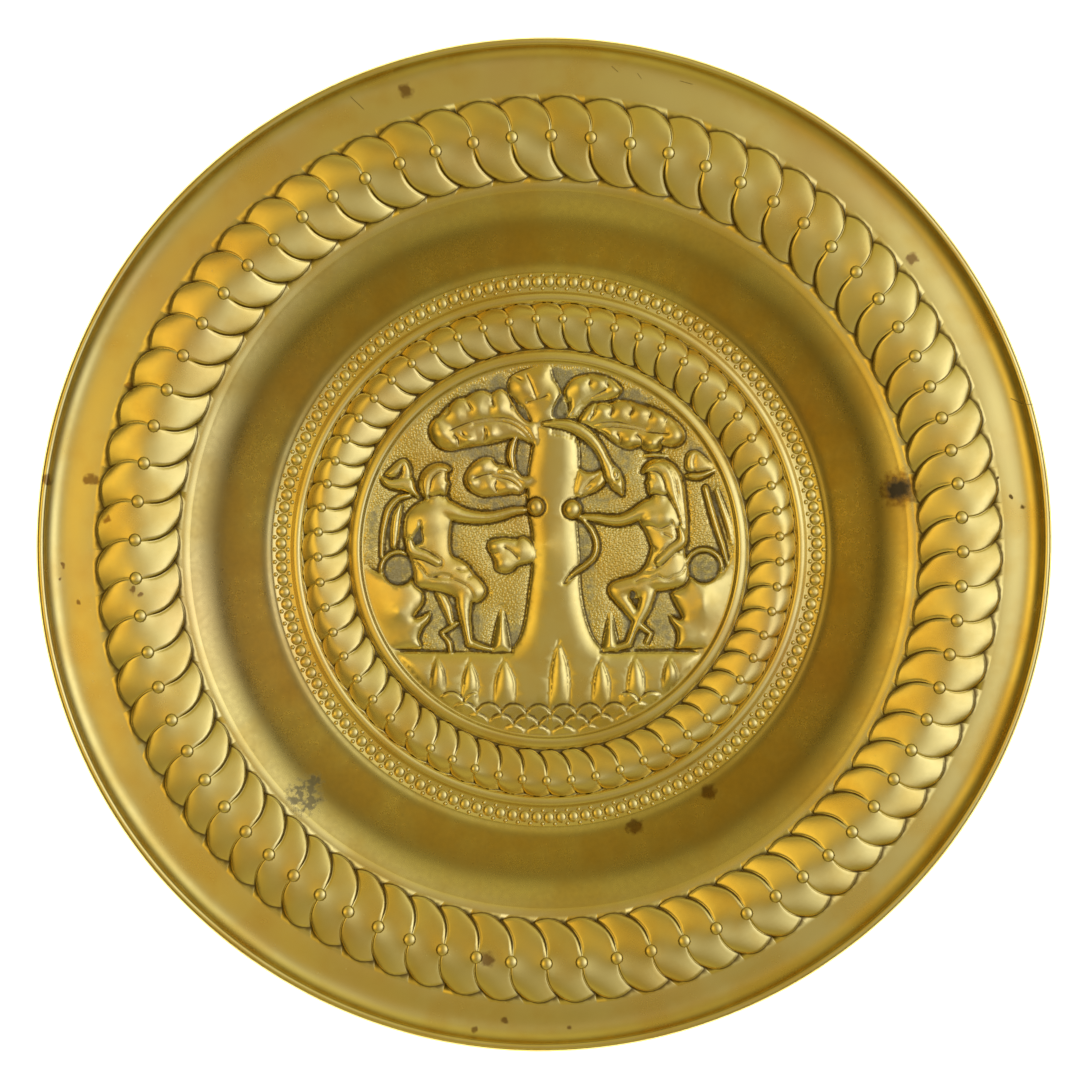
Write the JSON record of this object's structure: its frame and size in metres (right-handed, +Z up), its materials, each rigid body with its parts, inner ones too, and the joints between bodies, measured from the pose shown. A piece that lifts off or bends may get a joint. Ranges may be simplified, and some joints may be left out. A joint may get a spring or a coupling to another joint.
{
  "type": "embossed brass dish",
  "caption": "Round brass charger with a deep well, an embossed medallion in its floor, a wreath of lapped scales with bosses on its flange, and a rolled rim.",
  "frame": {"origin": "on the surface the dish lies on, under the middle of the rim's bounding box", "axes": "+Z up out of the well, square to the flange; +Y towards the top of the scene in the medallion, +X to the scene's right"},
  "size_m": [0.4202, 0.4198, 0.0347],
  "materials": {
    "brass": "old polished brass, mellowed, with dark patina left in the sunk ground"
  },
  "bodies": {
    "root": {"charger": "brass"}
  },
  "joints": []
}
